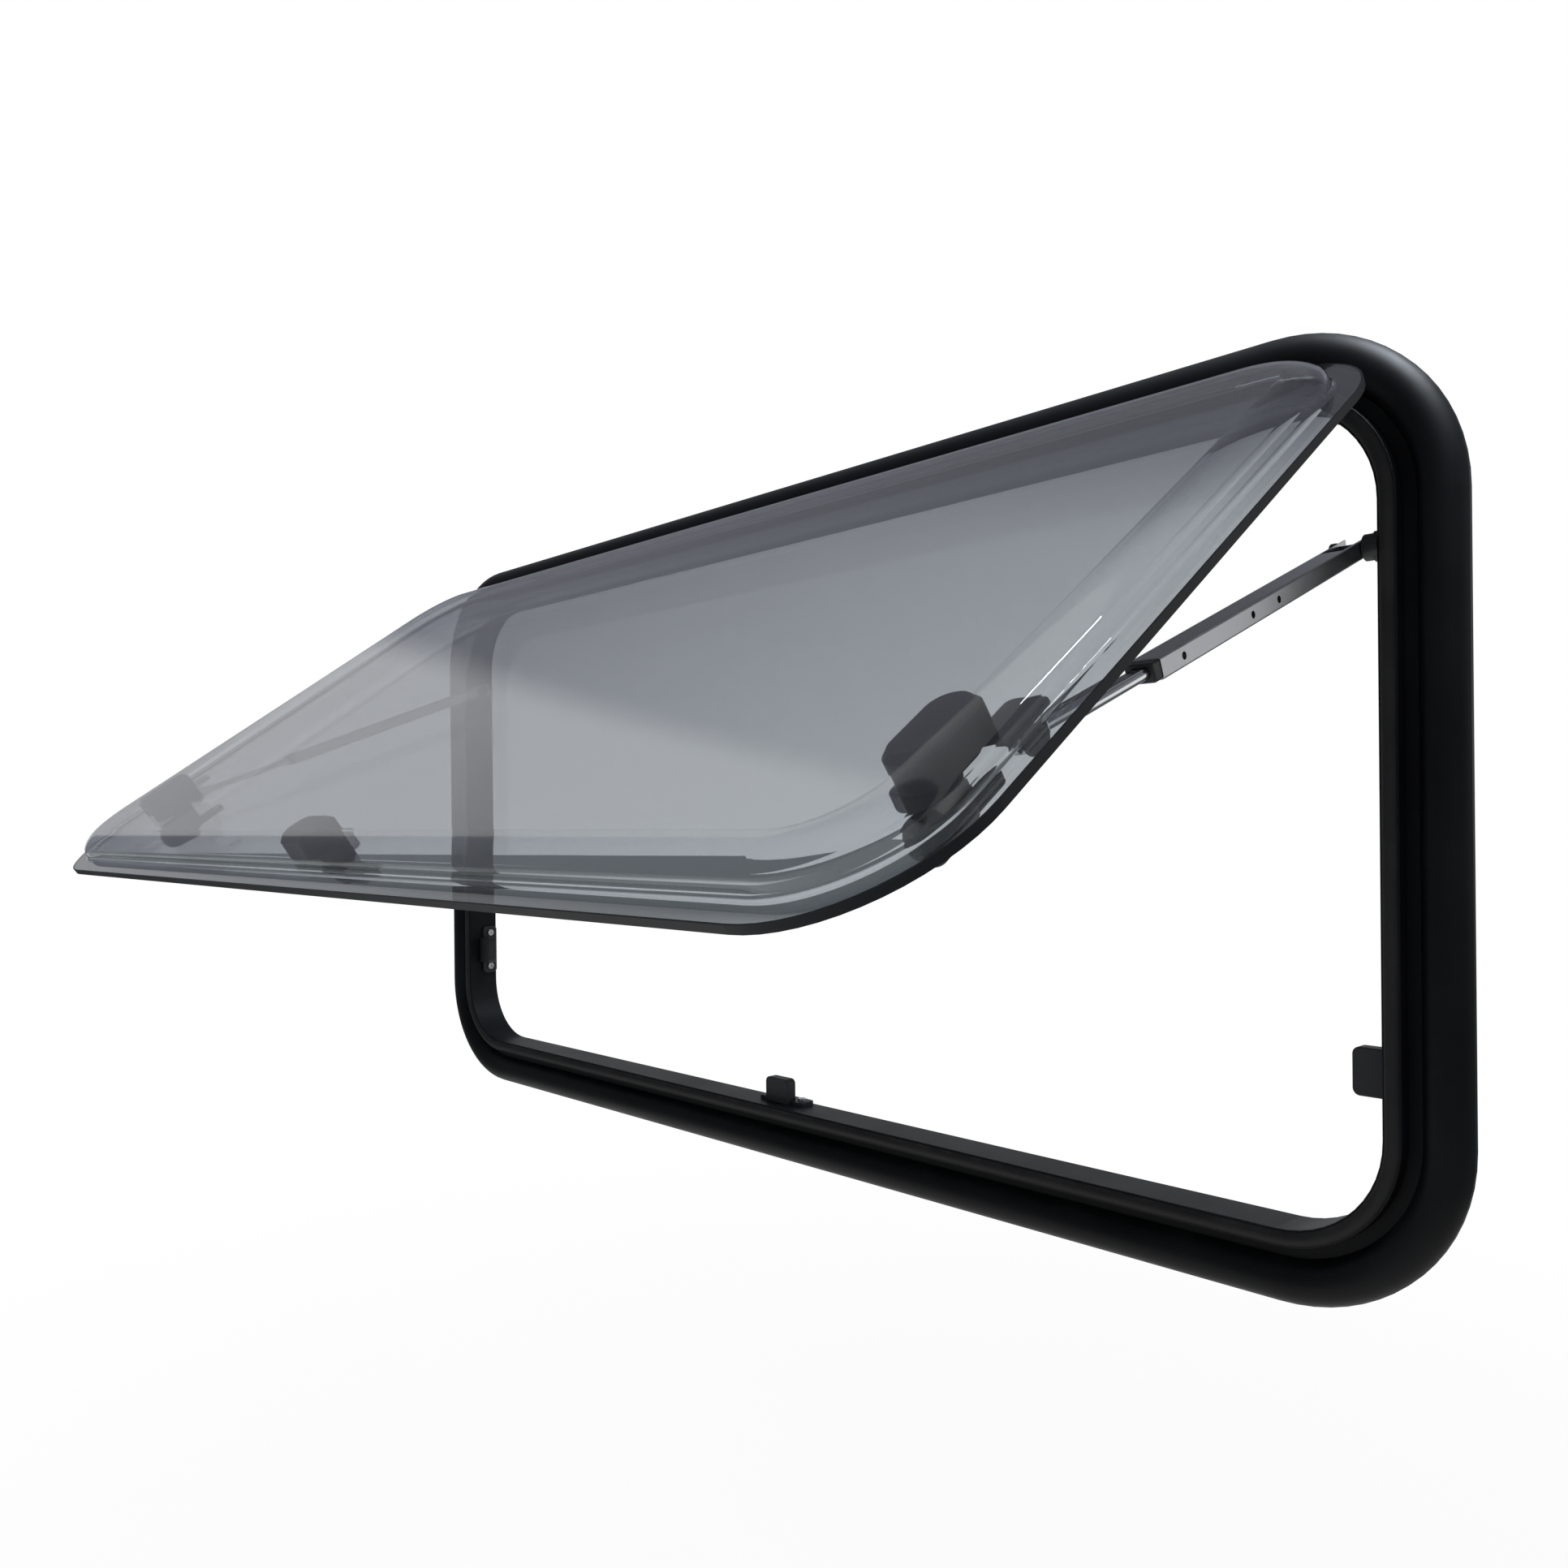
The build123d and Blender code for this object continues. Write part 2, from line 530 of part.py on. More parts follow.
def make_stay_eye():
    """The end of the bar: a ferrule, a flat eye and a rivet towards the cheek of the sash bracket."""
    centre = -hypot(*sash_eye())
    flat = EYE_THICKNESS / 2
    rivet_end = FERRULE_WIDTH / 2 + CHEEK_GAP - RIVET_GAP
    eye = rod(EYE_RADIUS, (-flat, 0, centre), (flat, 0, centre))
    eye += rod(PIVOT_RADIUS, (-FERRULE_WIDTH / 2, 0, centre), (rivet_end, 0, centre))
    neck = centre + EYE_RADIUS - flat
    return eye + bar(FERRULE_WIDTH, FERRULE_HEIGHT, ROD_ROUND, neck, centre + FERRULE_END)


def mirrored(piece):
    """The same piece on the other side of the window."""
    return mirror(piece, about=Plane.YZ)


def build_nodes():
    """Every piece by name, with the sash open."""
    nodes = {}
    jambs = {
        "right": Pos(JAMB_X, 0, 0) * Rot(0, -90, 0),
        "left": Pos(-JAMB_X, 0, 0) * Rot(0, 90, 0),
        "bottom": Pos(0, 0, -SILL_Z),
    }
    keeper_seats = {
        "right": Pos(0, 0, LATCH_SIDE_Z) * jambs["right"],
        "left": Pos(0, 0, LATCH_SIDE_Z) * jambs["left"],
        "bottom": jambs["bottom"],
    }
    holes = []
    for side, seat in keeper_seats.items():
        nodes[f"keeper_{side}"] = seat * make_keeper()
        nodes[f"keeper_screws_{side}"] = Compound(
            children=[seat * spot * screw(KEEPER_PLATE) for spot in keeper_screw_spots()])
        holes += [seat * spot * screw_hole(KEEPER_PLATE) for spot in keeper_screw_spots()]
    for side in ("left", "right"):
        seat = Pos(0, 0, STAY_PIVOT_Z) * jambs[side]
        nodes[f"stay_bracket_{side}"] = seat * make_stay_bracket()
        nodes[f"stay_bracket_screws_{side}"] = Compound(
            children=[seat * spot * screw(BRACKET_PLATE) for spot in bracket_screw_spots()])
        holes += [seat * spot * screw_hole(BRACKET_PLATE) for spot in bracket_screw_spots()]
    nodes["outer_frame"] = make_outer_frame(holes)
    nodes["frame_seal"] = make_frame_seal()
    nodes["hinge_rail"] = make_hinge_rail()
    nodes["hinge_leaf"] = swung(make_hinge_leaf())
    nodes["edge_trim"] = swung(make_edge_trim())
    nodes["outer_pane"] = swung(make_outer_pane())
    nodes["inner_pane"] = swung(make_inner_pane())
    upright = Rot(0, -90, 0)
    places = {
        "right": Pos(LATCH_SIDE_X, 0, LATCH_SIDE_Z) * upright,
        "bottom": Pos(0, 0, LATCH_BOTTOM_Z),
    }
    makers = {"latch_pad": make_latch_pad, "latch_base": make_latch_base, "latch_handle": make_latch_handle}
    for name, make in makers.items():
        for side, place in places.items():
            nodes[f"{name}_{side}"] = swung(place * make())
        nodes[f"{name}_left"] = mirrored(nodes[f"{name}_right"])
    nodes["sash_bracket_right"] = swung(make_sash_bracket())
    nodes["stay_channel_right"] = stay_placed(make_stay_channel())
    nodes["stay_collar_right"] = stay_placed(make_stay_collar())
    nodes["stay_rod_right"] = stay_placed(make_stay_rod())
    nodes["stay_eye_right"] = stay_placed(make_stay_eye())
    for name in ("sash_bracket", "stay_channel", "stay_collar", "stay_rod", "stay_eye"):
        nodes[f"{name}_left"] = mirrored(nodes[f"{name}_right"])
    return nodes


os.makedirs("parts", exist_ok=True)
for node, piece in build_nodes().items():
    export_step(piece, f"parts/{node}.step")
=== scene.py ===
"""A top-hung caravan window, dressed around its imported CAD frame."""

import json
import logging
import math
from dataclasses import dataclass, field
from enum import Enum
from typing import Mapping, Optional, Union

import bmesh
import bpy
from mathutils import Matrix, Vector


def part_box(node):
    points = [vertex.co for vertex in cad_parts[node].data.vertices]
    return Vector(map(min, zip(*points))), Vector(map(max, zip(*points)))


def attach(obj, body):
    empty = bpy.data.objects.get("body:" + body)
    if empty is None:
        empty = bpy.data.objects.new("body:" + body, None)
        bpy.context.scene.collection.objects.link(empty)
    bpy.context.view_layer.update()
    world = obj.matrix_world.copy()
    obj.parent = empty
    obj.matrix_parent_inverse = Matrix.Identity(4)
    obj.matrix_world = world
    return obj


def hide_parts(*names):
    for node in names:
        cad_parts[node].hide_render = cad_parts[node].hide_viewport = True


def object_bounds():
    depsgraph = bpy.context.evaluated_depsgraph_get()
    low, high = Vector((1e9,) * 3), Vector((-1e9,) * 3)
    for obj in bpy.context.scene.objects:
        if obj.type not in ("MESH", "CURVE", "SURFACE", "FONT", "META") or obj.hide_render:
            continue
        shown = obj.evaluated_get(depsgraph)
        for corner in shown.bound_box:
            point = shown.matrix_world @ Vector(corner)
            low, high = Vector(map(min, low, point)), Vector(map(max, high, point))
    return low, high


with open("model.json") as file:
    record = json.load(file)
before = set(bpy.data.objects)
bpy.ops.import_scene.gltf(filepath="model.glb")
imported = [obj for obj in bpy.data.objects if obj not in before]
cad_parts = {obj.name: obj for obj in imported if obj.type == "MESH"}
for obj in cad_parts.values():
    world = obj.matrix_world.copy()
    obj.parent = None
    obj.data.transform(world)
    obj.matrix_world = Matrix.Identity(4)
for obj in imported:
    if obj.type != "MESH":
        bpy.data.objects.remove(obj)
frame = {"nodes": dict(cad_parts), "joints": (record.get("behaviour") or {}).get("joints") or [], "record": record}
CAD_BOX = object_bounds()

LOG = logging.getLogger("caravan_window")
MILLIMETRE = 0.001

Colour = tuple[float, float, float]
Point = tuple[float, float, float]
Span = tuple[float, float]
Operand = Union["Value", float]
Feed = Union["Value", float, tuple]

WHITE: Colour = (1.0, 1.0, 1.0)


class Axis(Enum):
    """A direction of the row frame."""

    LEFT = (-1.0, 0.0, 0.0)
    RIGHT = (1.0, 0.0, 0.0)
    INWARD = (0.0, 1.0, 0.0)
    UP = (0.0, 0.0, 1.0)

    @property
    def vector(self) -> Vector:
        """The direction as a vector."""
        return Vector(self.value)


class Ray(Enum):
    """A kind of ray, by its output of the Light Path node."""

    CAMERA = "Is Camera Ray"
    SHADOW = "Is Shadow Ray"
    MIRROR = "Is Glossy Ray"
    GLASS = "Is Transmission Ray"


class Value:
    """An output socket of a node tree; sums on values add Math nodes."""

    def __init__(self, tree: "NodeTree", socket: Optional[bpy.types.NodeSocket]) -> None:
        """Wrap a socket.

        Args:
            tree: The tree that the socket belongs to.
            socket: The output socket, or none for a node that has no output.
        """
        self.tree = tree
        self.socket = socket

    def _sum(self, operation: str, first: Operand, second: Operand) -> "Value":
        """One Math node.

        Args:
            operation: The node's operation.
            first: The first operand.
            second: The second operand.

        Returns:
            The node's result.
        """
        return self.tree.node("ShaderNodeMath", {"operation": operation}, {0: first, 1: second})

    def __add__(self, other: Operand) -> "Value":
        """This plus another."""
        return self._sum("ADD", self, other)

    def __radd__(self, other: Operand) -> "Value":
        """Another plus this."""
        return self._sum("ADD", other, self)

    def __sub__(self, other: Operand) -> "Value":
        """This minus another."""
        return self._sum("SUBTRACT", self, other)

    def __rsub__(self, other: Operand) -> "Value":
        """Another minus this."""
        return self._sum("SUBTRACT", other, self)

    def __mul__(self, other: Operand) -> "Value":
        """This times another."""
        return self._sum("MULTIPLY", self, other)

    def __rmul__(self, other: Operand) -> "Value":
        """Another times this."""
        return self._sum("MULTIPLY", other, self)

    def __or__(self, other: Operand) -> "Value":
        """The larger of this and another."""
        return self._sum("MAXIMUM", self, other)

    def __ror__(self, other: Operand) -> "Value":
        """The larger of another and this."""
        return self._sum("MAXIMUM", other, self)


class NodeTree:
    """The nodes of one material or of the world."""

    # Sockets of a Mix node that blends colours
    MIX_SHARE, MIX_FIRST, MIX_SECOND = 0, 6, 7
    MIX_BLEND = 2

    def __init__(self, owner: Union[bpy.types.Material, bpy.types.World]) -> None:
        """Empty the owner's tree.

        Args:
            owner: The material or world.
        """
        owner.use_nodes = True
        self.tree = owner.node_tree
        self.tree.nodes.clear()

    def node(
        self,
        kind: str,
        settings: Optional[Mapping[str, object]] = None,
        inputs: Optional[Mapping[Union[int, str], Feed]] = None,
        output: Union[int, str] = 0,
    ) -> Value:
        """Add one node.

        Args:
            kind: The node's type.
            settings: Properties, which are set first.
            inputs: Values or links by socket name or number.
            output: The output that is wanted.

        Returns:
            The wanted output.
        """
        made = self.tree.nodes.new(kind)
        for name, value in (settings or {}).items():
            setattr(made, name, value)
        for key, value in (inputs or {}).items():
            if isinstance(value, Value):
                self.tree.links.new(value.socket, made.inputs[key])
            else:
                made.inputs[key].default_value = value
        return Value(self, made.outputs[output] if made.outputs else None)

    def spot(self, space: str = "Object") -> Value:
        """The place that is shaded, in one of the Texture Coordinate node's spaces."""
        return self.node("ShaderNodeTexCoord", output=space)

    def ray(self, kind: Ray) -> Value:
        """1 where a ray of this kind arrives, and otherwise 0."""
        return self.node("ShaderNodeLightPath", output=kind.value)

    def part(self, vector: Value, letter: str) -> Value:
        """The X, Y or Z of a vector."""
        return self.node("ShaderNodeSeparateXYZ", inputs={0: vector}, output=letter)

    def noise(self, place: Value, scale: float, detail: float = 3.0, rough: float = 0.55) -> Value:
        """Noise between 0 and 1.

        Args:
            place: Where the noise is read.
            scale: Features per metre.
            detail: Octaves.
            rough: Weight of the finer octaves.

        Returns:
            The noise.
        """
        inputs = {"Vector": place, "Scale": scale, "Detail": detail, "Roughness": rough}
        return self.node("ShaderNodeTexNoise", inputs=inputs)

    def spread(self, value: Value, span: Span) -> Value:
        """Stretch a span of a value over 0 to 1.

        Args:
            value: The value.
            span: What becomes 0, and what becomes 1.

        Returns:
            The value, stretched, smoothed and clamped.
        """
        settings = {"interpolation_type": "SMOOTHSTEP", "clamp": True}
        low, high = span
        return self.node("ShaderNodeMapRange", settings, {"Value": value, "From Min": low, "From Max": high})

    def mix(self, share: Operand, first: Feed, second: Feed) -> Value:
        """Blend two colours.

        Args:
            share: How much of the second.
            first: The first colour.
            second: The second colour.

        Returns:
            The blend.
        """
        opaque = [(*colour, 1.0) if isinstance(colour, tuple) else colour for colour in (first, second)]
        inputs = {self.MIX_SHARE: share, self.MIX_FIRST: opaque[0], self.MIX_SECOND: opaque[1]}
        return self.node("ShaderNodeMix", {"data_type": "RGBA"}, inputs, self.MIX_BLEND)


@dataclass(frozen=True)
class SolidFinish:
    """An opaque surface with clouds of colour, a fine grain and dust on what faces up."""

    name: str
    dark: Colour
    pale: Colour
    roughness: Span
    metallic: float = 0.0
    specular: float = 0.5
    cloud: float = 14.0
    cloud_detail: float = 4.0
    cloud_span: Span = (0.3, 0.72)
    cloud_in_colour: float = 0.6
    cloud_in_roughness: float = 0.45
    grain: float = 900.0
    grain_detail: float = 2.0
    stretch: Point = (1.0, 1.0, 1.0)
    turn: float = 0.0
    bump: float = 0.00004
    bump_strength: float = 0.25
    dust: float = 0.0
    dust_colour: Colour = (0.16, 0.16, 0.155)
    dust_facing: Span = (0.25, 1.0)
    dust_per_cloud: float = 3.0
    dust_detail: float = 6.0
    dust_span: Span = (0.35, 0.8)
    dust_roughness: float = 0.3

    def _dust_film(self, tree: NodeTree, spot: Value) -> Value:
        """Patches of dust on what faces up.

        Args:
            tree: The material's tree.
            spot: The place that is shaded.

        Returns:
            How thick the dust lies, from 0 to 1.
        """
        normal = tree.node("ShaderNodeNewGeometry", output="Normal")
        facing = tree.spread(tree.part(normal, "Z"), self.dust_facing)
        patches = tree.noise(spot, self.cloud * self.dust_per_cloud, self.dust_detail)
        return facing * tree.spread(patches, self.dust_span)

    def material(self) -> bpy.types.Material:
        """Build the finish.

        Returns:
            The material.
        """
        made = bpy.data.materials.new(self.name)
        tree = NodeTree(made)
        spot = tree.spot()
        turned = tree.node("ShaderNodeMapping", inputs={"Vector": spot, "Rotation": (self.turn, 0.0, 0.0)})
        drawn = tree.node("ShaderNodeMapping", inputs={"Vector": turned, "Scale": self.stretch})
        cloud = tree.spread(tree.noise(spot, self.cloud, self.cloud_detail), self.cloud_span)
        grain = tree.noise(drawn, self.grain, self.grain_detail)
        share = cloud * self.cloud_in_colour + grain * (1.0 - self.cloud_in_colour)
        colour = tree.mix(share, self.dark, self.pale)
        low, high = self.roughness
        uneven = cloud * self.cloud_in_roughness + grain * (1.0 - self.cloud_in_roughness)
        rough = low + (high - low) * uneven
        if self.dust:
            film = self._dust_film(tree, spot)
            colour = tree.mix(film * self.dust, colour, self.dust_colour)
            rough = rough + film * (self.dust * self.dust_roughness)
        relief = tree.node(
            "ShaderNodeBump",
            inputs={"Strength": self.bump_strength, "Distance": self.bump, "Height": grain},
        )
        shine = tree.node(
            "ShaderNodeBsdfPrincipled",
            inputs={
                "Base Color": colour,
                "Metallic": self.metallic,
                "Roughness": rough,
                "Specular IOR Level": self.specular,
                "Normal": relief,
            },
        )
        tree.node("ShaderNodeOutputMaterial", inputs={"Surface": shine})
        return made


@dataclass(frozen=True)
class SmokedAcrylic:
    """Clear sheet with a grey tint, polished, with faint wipe marks."""

    name: str = "smoked_acrylic"
    tint: Colour = (0.65, 0.675, 0.695)
    index: float = 1.49
    haze: float = 0.035
    wipe: float = 9.0
    wipe_stretch: Point = (0.35, 1.0, 1.0)
    wipe_detail: float = 5.0
    wipe_fineness: float = 0.6
    wipe_span: Span = (0.5, 0.8)

    def material(self) -> bpy.types.Material:
        """Build the finish; lamps pass through it.

        Returns:
            The material.
        """
        made = bpy.data.materials.new(self.name)
        tree = NodeTree(made)
        swept = tree.node("ShaderNodeMapping", inputs={"Vector": tree.spot(), "Scale": self.wipe_stretch})
        marks = tree.noise(swept, self.wipe, self.wipe_detail, self.wipe_fineness)
        tint = (*self.tint, 1.0)
        sheet = tree.node(
            "ShaderNodeBsdfPrincipled",
            inputs={
                "Base Color": tint,
                "Roughness": tree.spread(marks, self.wipe_span) * self.haze,
                "IOR": self.index,
                "Transmission Weight": 1.0,
            },
        )
        through = tree.node("ShaderNodeBsdfTransparent", inputs={"Color": tint})
        both = tree.node("ShaderNodeMixShader", inputs={0: tree.ray(Ray.SHADOW), 1: sheet, 2: through})
        tree.node("ShaderNodeOutputMaterial", inputs={"Surface": both})
        return made


@dataclass
class Palette:
    """Every finish of the window by the record's slot."""

    stay_slope: float = math.radians(-21.0)
    along_stay: Point = (1.0, 0.03, 1.0)
    along_hinge: Point = (0.04, 1.0, 1.0)
    made: dict[str, bpy.types.Material] = field(default_factory=dict)

    def finishes(self) -> list[Union[SolidFinish, SmokedAcrylic]]:
        """The finishes.

        Returns:
            One finish for each material slot.
        """
        return [
            SolidFinish(
                "frame_black", dark=(0.0012, 0.0014, 0.002), pale=(0.003, 0.0034, 0.0042),
                roughness=(0.42, 0.54), specular=0.14, grain=1500.0, bump=0.00003, dust=0.02,
            ),
            SolidFinish(
                "hinge_black", dark=(0.003, 0.0033, 0.004), pale=(0.006, 0.0065, 0.0075),
                roughness=(0.3, 0.42), specular=0.25, grain=900.0, stretch=self.along_hinge, dust=0.05,
            ),
            SolidFinish(
                "seal_rubber", dark=(0.006, 0.006, 0.0065), pale=(0.014, 0.014, 0.0145),
                roughness=(0.62, 0.82), specular=0.3, cloud=30.0, grain=2200.0, bump=0.00006, dust=0.1,
            ),
            SmokedAcrylic(),
            SolidFinish(
                "trim_black", dark=(0.005, 0.0056, 0.007), pale=(0.009, 0.01, 0.012),
                roughness=(0.4, 0.52), specular=0.15, cloud=20.0, grain=700.0, bump=0.00002,
            ),
            SolidFinish(
                "latch_plastic", dark=(0.008, 0.0088, 0.010), pale=(0.014, 0.0152, 0.017),
                roughness=(0.42, 0.58), specular=0.4, cloud=40.0, grain=3200.0, bump=0.00005, dust=0.05,
            ),
            SolidFinish(
                "bracket_black", dark=(0.008, 0.0085, 0.0095), pale=(0.014, 0.015, 0.0165),
                roughness=(0.4, 0.55), specular=0.4, cloud=40.0, grain=2800.0, bump=0.00005, dust=0.05,
            ),
            SolidFinish(
                "stay_aluminium", dark=(0.38, 0.39, 0.405), pale=(0.52, 0.53, 0.545),
                roughness=(0.26, 0.42), metallic=1.0, cloud=18.0, grain=1600.0, bump=0.00002,
                stretch=self.along_stay, turn=self.stay_slope,
            ),
            SolidFinish(
                "rod_steel", dark=(0.6, 0.61, 0.62), pale=(0.72, 0.725, 0.73),
                roughness=(0.1, 0.2), metallic=1.0, cloud=25.0, grain=1800.0, bump=0.00001,
                stretch=self.along_stay, turn=self.stay_slope,
            ),
            SolidFinish(
                "screw_steel", dark=(0.5, 0.51, 0.53), pale=(0.66, 0.66, 0.65),
                roughness=(0.22, 0.38), metallic=1.0, cloud=160.0, grain=3000.0, bump=0.00002,
            ),
        ]

    def build(self) -> None:
        """Make every material."""
        for finish in self.finishes():
            self.made[finish.name] = finish.material()

    def dress(self, piece: bpy.types.Object, slot: str) -> None:
        """Give a piece a finish.

        Args:
            piece: The piece.
            slot: The record's material slot.
        """
        piece.data.materials.clear()
        piece.data.materials.append(self.made[slot])

    def dress_nodes(self) -> None:
        """Give every CAD node the finish of its slot."""
        for part in frame["record"]["subparts"]:
            self.dress(frame["nodes"][part["node"]], part["material_slot"])
            LOG.info("%s: %s", part["node"], part["material_slot"])


@dataclass
class StandIn:
    """What a piece that takes a CAD node's place says to the frame."""

    node: str
    body: str
    slot: str

    def place(self, name: str, data: bpy.types.Mesh, palette: Palette) -> bpy.types.Object:
        """Put a mesh in the node's place.

        Args:
            name: The piece's name.
            data: The mesh, in metres where the node is.
            palette: The finishes.

        Returns:
            The piece.
        """
        piece = bpy.data.objects.new(name, data)
        bpy.context.scene.collection.objects.link(piece)
        palette.dress(piece, self.slot)
        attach(piece, self.body)
        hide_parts(self.node)
        return piece


@dataclass
class ScrewPair:
    """Two round headed screws with a cross recess, in millimetres."""

    node: str
    out: Axis
    along: Axis
    body: str = "frame"
    finish: str = "screw_steel"
    head_radius: float = 3.2
    head_height: float = 2.0
    rim: float = 1.1
    rim_steps: int = 5
    shank_radius: float = 1.9
    shank_length: float = 9.0
    recess_length: float = 3.4
    recess_width: float = 0.9
    recess_depth: float = 1.0
    recess_taper: float = 0.72
    sides: int = 32
    weld: float = 0.00001
    level_cosine: float = 0.99

    def _cut(self, mesh: bmesh.types.BMesh, normal: Vector, reach: float, trim: bool = False) -> None:
        """Cut the whole plate along one line.

        Args:
            mesh: The plate.
            normal: The line's direction away from the middle.
            reach: The line's distance from the middle.
            trim: Whether what lies beyond the line is cut off.
        """
        bmesh.ops.bisect_plane(
            mesh, geom=[*mesh.verts, *mesh.edges, *mesh.faces], dist=self.weld,
            plane_co=normal * reach, plane_no=normal, clear_outer=trim,
        )

    def _disc(self, mesh: bmesh.types.BMesh) -> None:
        """A round plate that is cut along the edges of its recess.

        Args:
            mesh: The mesh that gets the plate.
        """
        bmesh.ops.create_grid(mesh, x_segments=1, y_segments=1, size=2 * self.head_radius)
        for normal in (Vector((1, 0, 0)), Vector((0, 1, 0))):
            for width in (self.recess_length, self.recess_width):
                for side in (-1, 1):
                    self._cut(mesh, normal, side * width / 2)
        for index in range(self.sides):
            turn = math.tau * (index + 0.5) / self.sides
            self._cut(mesh, Vector((math.cos(turn), math.sin(turn), 0)), self.head_radius, trim=True)

    def _in_recess(self, face: bmesh.types.BMFace) -> bool:
        """Whether a face of the head lies in the cross.

        Args:
            face: The face.

        Returns:
            True in the cross.
        """
        centre = face.calc_center_median()
        near, far = sorted((abs(centre.x), abs(centre.y)))
        level = abs(face.normal.z) > self.level_cosine
        return level and near < self.recess_width / 2 and far < self.recess_length / 2

    def _sink(
        self, mesh: bmesh.types.BMesh, faces: list[bmesh.types.BMFace], depth: float
    ) -> list[bmesh.types.BMVert]:
        """Extrude faces downwards.

        Args:
            mesh: The mesh.
            faces: The faces.
            depth: How far down they go.

        Returns:
            The corners of the sunk faces.
        """
        sunk = bmesh.ops.extrude_face_region(mesh, geom=faces)["geom"]
        corners = [item for item in sunk if isinstance(item, bmesh.types.BMVert)]
        bmesh.ops.delete(mesh, geom=faces, context="FACES_ONLY")
        bmesh.ops.translate(mesh, verts=corners, vec=(0, 0, -depth))
        return corners

    def _screw(self) -> bmesh.types.BMesh:
        """One screw along Z with the underside of its head at the origin.

        Returns:
            The mesh.
        """
        mesh = bmesh.new()
        self._disc(mesh)
        bmesh.ops.translate(mesh, verts=mesh.verts[:], vec=(0, 0, self.head_height))
        rim = [edge for edge in mesh.edges if edge.is_boundary]
        wall = bmesh.ops.extrude_edge_only(mesh, edges=rim)["geom"]
        foot = [item for item in wall if isinstance(item, bmesh.types.BMVert)]
        bmesh.ops.translate(mesh, verts=foot, vec=(0, 0, -self.head_height))
        rim = [edge for edge in rim if edge.is_valid]
        bmesh.ops.bevel(
            mesh, geom=rim, offset=self.rim, segments=self.rim_steps, profile=0.5, affect="EDGES",
            material=-1, offset_type="OFFSET", clamp_overlap=True,
        )
        cross = [face for face in mesh.faces if self._in_recess(face)]
        floor = self._sink(mesh, cross, self.recess_depth)
        bmesh.ops.scale(mesh, verts=floor, vec=(self.recess_taper, self.recess_taper, 1.0))
        ring = [edge for edge in mesh.edges if edge.is_boundary]
        under = bmesh.ops.edgeloop_fill(mesh, edges=ring)["faces"]
        bmesh.ops.inset_region(mesh, faces=under, thickness=self.head_radius - self.shank_radius)
        self._sink(mesh, under, self.shank_length)
        bmesh.ops.recalc_face_normals(mesh, faces=mesh.faces[:])
        return mesh

    def build(self, palette: Palette) -> bpy.types.Object:
        """Put both screws where the CAD ones are.

        Args:
            palette: The finishes.

        Returns:
            The piece.
        """
        low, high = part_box(self.node)
        out, along = self.out.vector, self.along.vector
        centre = (low + high) / 2
        half = (high - low) / 2
        seat = centre + out * (abs(half.dot(out)) - self.head_height * MILLIMETRE)
        apart = along * (abs(half.dot(along)) - self.head_radius * MILLIMETRE)
        upright = out.to_track_quat("Z", "Y").to_matrix().to_4x4()
        data = bpy.data.meshes.new(self.node)
        both = bmesh.new()
        for side in (-1, 1):
            one = self._screw()
            place = Matrix.Translation(seat + apart * side) @ upright @ Matrix.Scale(MILLIMETRE, 4)
            bmesh.ops.transform(one, matrix=place, verts=one.verts[:])
            one.to_mesh(data)
            one.free()
            both.from_mesh(data)
        both.to_mesh(data)
        both.free()
        return StandIn(self.node, self.body, self.finish).place(f"{self.node}_recessed", data, palette)


